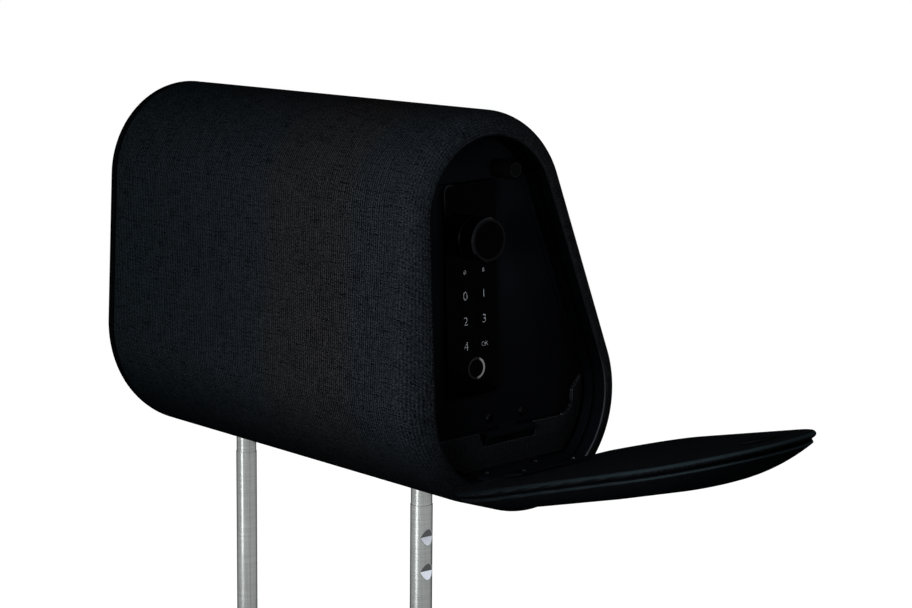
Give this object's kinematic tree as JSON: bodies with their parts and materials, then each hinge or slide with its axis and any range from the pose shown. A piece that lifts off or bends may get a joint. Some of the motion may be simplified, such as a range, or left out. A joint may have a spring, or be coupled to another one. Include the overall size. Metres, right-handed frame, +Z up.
{
  "type": "headrest safe",
  "caption": "Padded car headrest on two steel posts whose end flap swings down to show a small steel safe with a keypad and a turning knob.",
  "frame": {"origin": "on the headrest's underside, midway between the axes of its two posts", "axes": "+X along the headrest towards the end with the flap, +Z up its height, -Y out of its flat face"},
  "size_m": [0.5004, 0.1593, 0.3776],
  "materials": {
    "cover_fabric": "cross-woven",
    "lining_fabric": "woven",
    "foam": "open foam",
    "felt": "felt",
    "safe_steel": "matt powder coat",
    "post_steel": "brushed",
    "bare_steel": "satin",
    "black_steel": "blackened",
    "gloss_black": "glossy",
    "matt_black": "matt",
    "board_green": "solder mask",
    "indicator": "translucent",
    "bright_ring": "polished",
    "knob_metal": "black anodised",
    "bush_brass": "turned",
    "cell_metal": "wrapped"
  },
  "bodies": {
    "headrest": {"fabric_cover": "cover_fabric", "foam_core": "foam", "end_panel": "cover_fabric", "end_piping": "cover_fabric", "recess_liner": "lining_fabric", "hinge_block": "matt_black", "bottom_filler": "lining_fabric", "safe_body": "safe_steel", "back_plate": "safe_steel", "door_frame": "safe_steel", "floor_mat": "felt", "post_left": "post_steel", "post_right": "post_steel", "post_blocks": "bare_steel", "post_screws": "bare_steel", "door_hinge_frame_leaf": "black_steel", "door_hinge_pin": "bare_steel", "frame_leaf_screws": "bare_steel", "flap_hinge_fixed_leaf": "black_steel", "flap_hinge_pin": "bare_steel", "fixed_leaf_screws": "bare_steel", "catch_post": "matt_black", "catch_magnet": "bare_steel"},
    "door": {"door_plate": "safe_steel", "door_hinge_leaf": "black_steel", "door_leaf_screws": "bare_steel", "keypad_housing": "gloss_black", "keypad_board": "board_green", "led_windows": "indicator", "fingerprint_ring": "bright_ring", "fingerprint_sensor": "gloss_black", "spindle_bush": "bush_brass", "lock_case": "matt_black", "case_screws": "bare_steel", "bolt_guides": "bare_steel", "solenoid": "bare_steel", "battery_tray": "matt_black", "battery_cells": "cell_metal"},
    "battery_cover": {"battery_cover": "matt_black"},
    "knob": {"knob": "knob_metal", "knob_cap": "gloss_black", "spindle": "bare_steel", "lock_cam": "bare_steel"},
    "bolts": {"bolt_plate": "bare_steel"},
    "plunger": {"plunger": "bare_steel"},
    "key_0": {"key_0": "matt_black"},
    "key_1": {"key_1": "matt_black"},
    "key_2": {"key_2": "matt_black"},
    "key_3": {"key_3": "matt_black"},
    "key_4": {"key_4": "matt_black"},
    "key_ok": {"key_ok": "matt_black"},
    "flap": {"flap_outer_pad": "cover_fabric", "flap_lining": "lining_fabric", "flap_board": "matt_black", "flap_welt": "cover_fabric", "flap_hinge_leaf": "black_steel", "flap_leaf_screws": "bare_steel", "keeper_plate": "bare_steel"}
  },
  "joints": [
    {"name": "flap_hinge", "type": "hinge", "parent": "headrest", "child": "flap", "pos_m": [0.155, 0.02, 0.012], "axis": [0, 1, 0], "range_deg": [-74.5, 0]},
    {"name": "door_hinge", "type": "hinge", "parent": "headrest", "child": "door", "pos_m": [0.1315, 0.0255, 0.0375], "axis": [0, 1, 0], "range_deg": [0, 75]},
    {"name": "knob_turn", "type": "hinge", "parent": "door", "child": "knob", "pos_m": [0.131, 0.0018, 0.1488], "axis": [1, 0, 0], "range_deg": [-90, 0]},
    {"name": "bolt_slide", "type": "slide", "parent": "door", "child": "bolts", "axis": [0, 0, 1], "range_m": [0, 0.0099]},
    {"name": "plunger_slide", "type": "slide", "parent": "door", "child": "plunger", "axis": [0, 1, 0], "range_m": [-0.003, 0]},
    {"name": "battery_cover_slide", "type": "slide", "parent": "door", "child": "battery_cover", "axis": [0, 0, 1], "range_m": [0, 0.012]},
    {"name": "key_0_press", "type": "slide", "parent": "door", "child": "key_0", "axis": [-1, 0, 0], "range_m": [0, 0.0006], "stiffness_N_per_m": 1500, "springref_m": -0.0004},
    {"name": "key_1_press", "type": "slide", "parent": "door", "child": "key_1", "axis": [-1, 0, 0], "range_m": [0, 0.0006], "stiffness_N_per_m": 1500, "springref_m": -0.0004},
    {"name": "key_2_press", "type": "slide", "parent": "door", "child": "key_2", "axis": [-1, 0, 0], "range_m": [0, 0.0006], "stiffness_N_per_m": 1500, "springref_m": -0.0004},
    {"name": "key_3_press", "type": "slide", "parent": "door", "child": "key_3", "axis": [-1, 0, 0], "range_m": [0, 0.0006], "stiffness_N_per_m": 1500, "springref_m": -0.0004},
    {"name": "key_4_press", "type": "slide", "parent": "door", "child": "key_4", "axis": [-1, 0, 0], "range_m": [0, 0.0006], "stiffness_N_per_m": 1500, "springref_m": -0.0004},
    {"name": "key_ok_press", "type": "slide", "parent": "door", "child": "key_ok", "axis": [-1, 0, 0], "range_m": [0, 0.0006], "stiffness_N_per_m": 1500, "springref_m": -0.0004}
  ],
  "couplings": [
    {"joint": "knob_turn", "follows": "bolt_slide", "rad_per_m": -158.66}
  ]
}
